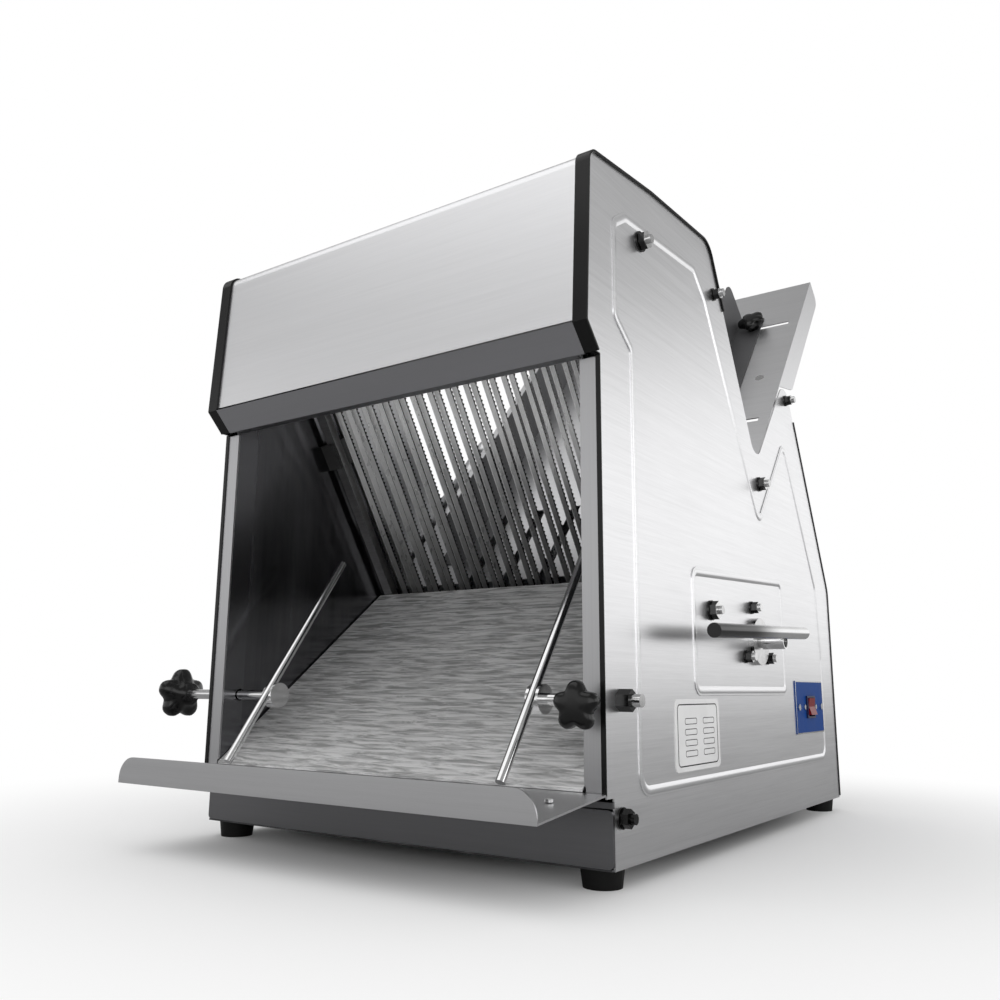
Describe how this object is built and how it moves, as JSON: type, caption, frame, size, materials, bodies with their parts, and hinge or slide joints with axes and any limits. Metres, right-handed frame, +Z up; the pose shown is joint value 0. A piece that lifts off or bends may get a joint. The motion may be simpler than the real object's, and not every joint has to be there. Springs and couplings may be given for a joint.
{
  "type": "electric bread slicer",
  "caption": "Counter-top electric bread slicer: sloping feed plate, gang of toothed blades in two frames, discharge chute with a front tray, side handle and a crumb drawer.",
  "frame": {"origin": "centre of the whole machine's footprint box, on the floor", "axes": "+X to the machine's right side seen from the front with the switch, +Y to the rear, +Z up"},
  "size_m": [0.5724, 0.7628, 0.7148],
  "materials": {
    "panel_steel": "brushed sheet",
    "wall_steel": "brushed sheet",
    "trim_black": "satin black edging",
    "post_grey": "satin light grey",
    "hood_steel": "brushed lengthwise",
    "band_dark": "satin dark grey",
    "base_dark": "satin dark grey",
    "drawer_steel": "plain sheet",
    "chute_steel": "bright brushed",
    "tray_steel": "brushed",
    "feed_steel": "brushed",
    "guide_grey": "satin grey",
    "knob_black": "moulded black",
    "frame_steel": "ground bar",
    "blade_steel": "ground, toothed edge",
    "nylon": "natural nylon",
    "shaft_steel": "turned",
    "cast_grey": "cast and turned",
    "belt_rubber": "matte",
    "motor_paint": "satin",
    "boss_steel": "turned",
    "handle_chrome": "polished",
    "guard_chrome": "polished",
    "nut_dark": "black chrome",
    "screw_steel": "polished",
    "plate_white": "white, no text",
    "switch_blue": "satin blue",
    "switch_navy": "moulded navy",
    "rocker_red": "moulded red",
    "gland_black": "moulded black",
    "foot_rubber": "matte"
  },
  "bodies": {
    "casing": {"right_side_panel": "panel_steel", "left_side_panel": "panel_steel", "right_inner_wall": "wall_steel", "left_inner_wall": "wall_steel", "right_edge_trim": "trim_black", "left_edge_trim": "trim_black", "rear_edge_trims": "trim_black", "front_posts": "post_grey", "hood_cover": "hood_steel", "hood_band": "band_dark", "rear_cover": "wall_steel", "cable_gland": "gland_black", "base_pan": "wall_steel", "rubber_feet": "foot_rubber", "front_rail": "base_dark", "drawer_runners": "drawer_steel", "discharge_chute": "chute_steel", "front_tray": "tray_steel", "frame_guides": "nylon", "crank_bearings": "cast_grey", "motor": "motor_paint", "motor_bracket": "cast_grey", "drive_belt": "belt_rubber", "bearing_housings": "boss_steel", "feed_plate": "feed_steel", "guard_bushes": "nut_dark", "tie_rods": "shaft_steel", "right_side_nuts": "nut_dark", "left_side_nuts": "nut_dark", "nameplate": "plate_white", "switch_plate": "switch_blue", "switch_body": "switch_navy", "cover_screws": "screw_steel"},
    "front_frame": {"front_blade_frame": "frame_steel", "front_blades": "blade_steel"},
    "rear_frame": {"rear_blade_frame": "frame_steel", "rear_blades": "blade_steel"},
    "crank": {"crankshaft": "shaft_steel", "large_pulley": "cast_grey"},
    "front_rods": {"front_connecting_rods": "shaft_steel"},
    "rear_rods": {"rear_connecting_rods": "shaft_steel"},
    "rotor": {"motor_shaft": "shaft_steel", "motor_pulley": "cast_grey"},
    "pusher": {"pusher_shaft": "shaft_steel", "pusher_fingers": "shaft_steel", "handle_hub": "handle_chrome", "handle_bar": "handle_chrome"},
    "right_guide": {"right_feed_guide": "guide_grey"},
    "left_guide": {"left_feed_guide": "guide_grey"},
    "right_guide_knob": {"right_guide_knob": "knob_black"},
    "left_guide_knob": {"left_guide_knob": "knob_black"},
    "right_guard": {"right_guard_rod": "guard_chrome", "right_guard_stud": "guard_chrome"},
    "left_guard": {"left_guard_rod": "guard_chrome", "left_guard_stud": "guard_chrome"},
    "right_guard_knob": {"right_guard_knob": "knob_black"},
    "left_guard_knob": {"left_guard_knob": "knob_black"},
    "rocker": {"switch_rocker": "rocker_red"},
    "drawer": {"crumb_drawer": "drawer_steel", "drawer_front": "base_dark"}
  },
  "joints": [
    {"name": "front_frame_slide", "type": "slide", "parent": "casing", "child": "front_frame", "axis": [0, -0.5446, 0.8387], "range_m": [-0.007, 0.007]},
    {"name": "rear_frame_slide", "type": "slide", "parent": "casing", "child": "rear_frame", "axis": [0, -0.5446, 0.8387], "range_m": [-0.007, 0.007]},
    {"name": "crank_spin", "type": "hinge", "parent": "casing", "child": "crank", "pos_m": [0.02375, 0.08029, 0.07707], "axis": [1, 0, 0], "continuous": true},
    {"name": "front_rods_turn", "type": "hinge", "parent": "crank", "child": "front_rods", "pos_m": [0.02375, 0.08616, 0.08088], "axis": [1, 0, 0], "continuous": true},
    {"name": "rear_rods_turn", "type": "hinge", "parent": "crank", "child": "rear_rods", "pos_m": [0.02375, 0.07442, 0.07326], "axis": [1, 0, 0], "continuous": true},
    {"name": "rotor_spin", "type": "hinge", "parent": "casing", "child": "rotor", "pos_m": [0.02375, 0.20164, 0.125], "axis": [1, 0, 0], "continuous": true},
    {"name": "pusher_swing", "type": "hinge", "parent": "casing", "child": "pusher", "pos_m": [0.02375, 0.04164, 0.193], "axis": [1, 0, 0], "range_deg": [0, 60]},
    {"name": "right_guide_slide", "type": "slide", "parent": "casing", "child": "right_guide", "axis": [1, 0, 0], "range_m": [-0.003, 0.04]},
    {"name": "left_guide_slide", "type": "slide", "parent": "casing", "child": "left_guide", "axis": [-1, 0, 0], "range_m": [-0.003, 0.04]},
    {"name": "right_guide_knob_turn", "type": "hinge", "parent": "right_guide", "child": "right_guide_knob", "pos_m": [0.17975, 0.28813, 0.63753], "axis": [0, -0.766, 0.6428], "continuous": true},
    {"name": "left_guide_knob_turn", "type": "hinge", "parent": "left_guide", "child": "left_guide_knob", "pos_m": [-0.13225, 0.28813, 0.63753], "axis": [0, -0.766, 0.6428], "continuous": true},
    {"name": "right_guard_slide", "type": "slide", "parent": "casing", "child": "right_guard", "axis": [1, 0, 0], "range_m": [-0.018, 0.006]},
    {"name": "left_guard_slide", "type": "slide", "parent": "casing", "child": "left_guard", "axis": [1, 0, 0], "range_m": [-0.04, 0.04]},
    {"name": "right_guard_knob_turn", "type": "hinge", "parent": "casing", "child": "right_guard_knob", "pos_m": [0.23725, -0.30736, 0.132], "axis": [0, 1, 0], "continuous": true},
    {"name": "left_guard_knob_turn", "type": "hinge", "parent": "left_guard", "child": "left_guard_knob", "pos_m": [-0.27325, -0.26436, 0.136], "axis": [1, 0, 0], "continuous": true},
    {"name": "switch_rock", "type": "hinge", "parent": "casing", "child": "rocker", "pos_m": [0.24775, 0.21214, 0.125], "axis": [0, 1, 0], "range_deg": [0, 12]},
    {"name": "drawer_slide", "type": "slide", "parent": "casing", "child": "drawer", "axis": [0, -1, 0], "range_m": [0, 0.25]}
  ],
  "couplings": [
    {"joint": "rear_frame_slide", "follows": "front_frame_slide", "ratio": -1},
    {"joint": "front_rods_turn", "follows": "crank_spin", "ratio": -1},
    {"joint": "rear_rods_turn", "follows": "crank_spin", "ratio": -1},
    {"joint": "rotor_spin", "follows": "crank_spin", "ratio": 2.5}
  ]
}
